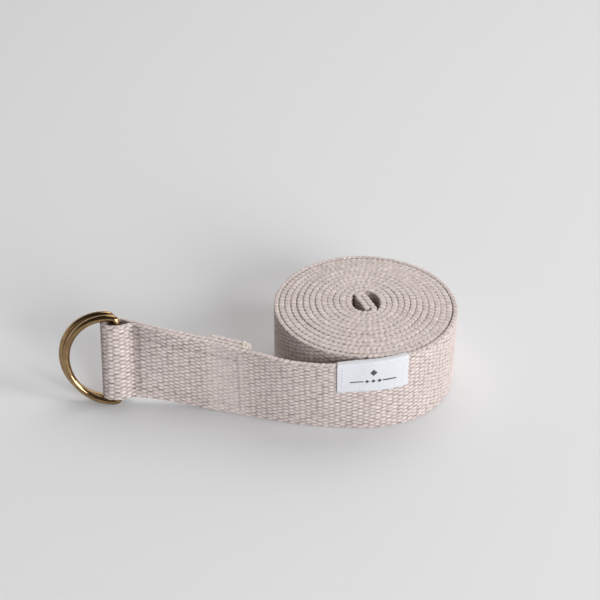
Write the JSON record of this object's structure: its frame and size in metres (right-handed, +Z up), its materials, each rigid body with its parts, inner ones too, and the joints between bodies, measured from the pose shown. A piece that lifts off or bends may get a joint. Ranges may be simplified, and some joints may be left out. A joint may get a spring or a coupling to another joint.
{
  "type": "stretching strap",
  "caption": "Rolled cotton webbing strap for stretching, with two brass D-rings sewn into a loop at its outer end and a small folded label.",
  "frame": {"origin": "where the roll's axis meets the surface that the roll stands on", "axes": "+X away from the rings along the strap's lead, +Y to the back, away from the label, +Z up the webbing's width"},
  "size_m": [0.1821, 0.0864, 0.0438],
  "materials": {
    "webbing": "woven cotton, matt",
    "ring_brass": "polished, slightly antiqued",
    "label_satin": "white satin weave",
    "thread": "cotton sewing thread"
  },
  "bodies": {
    "roll": {"webbing_roll": "webbing", "tail_hem": "webbing", "webbing_exit": "webbing", "label": "label_satin", "label_stitching": "thread", "tail_stitching": "thread"},
    "lead": {"webbing_lead": "webbing", "webbing_loop": "webbing", "webbing_foldback": "webbing", "foldback_hem": "webbing", "box_stitching": "thread"},
    "ring_front": {"ring_front": "ring_brass"},
    "ring_back": {"ring_back": "ring_brass"}
  },
  "joints": [
    {"name": "lead_bend", "type": "hinge", "parent": "roll", "child": "lead", "pos_m": [-0.04248, -0.03652, 0.019], "axis": [0, 0, 1], "range_deg": [-60, 60]},
    {"name": "ring_front_swing", "type": "hinge", "parent": "lead", "child": "ring_front", "pos_m": [-0.11165, -0.02194, 0.02218], "axis": [0.0094, 0.2162, 0.9763], "range_deg": [0, 155]},
    {"name": "ring_back_swing", "type": "hinge", "parent": "lead", "child": "ring_back", "pos_m": [-0.11399, -0.01832, 0.02166], "axis": [0.0094, 0.2162, 0.9763], "range_deg": [-155, 0]}
  ]
}
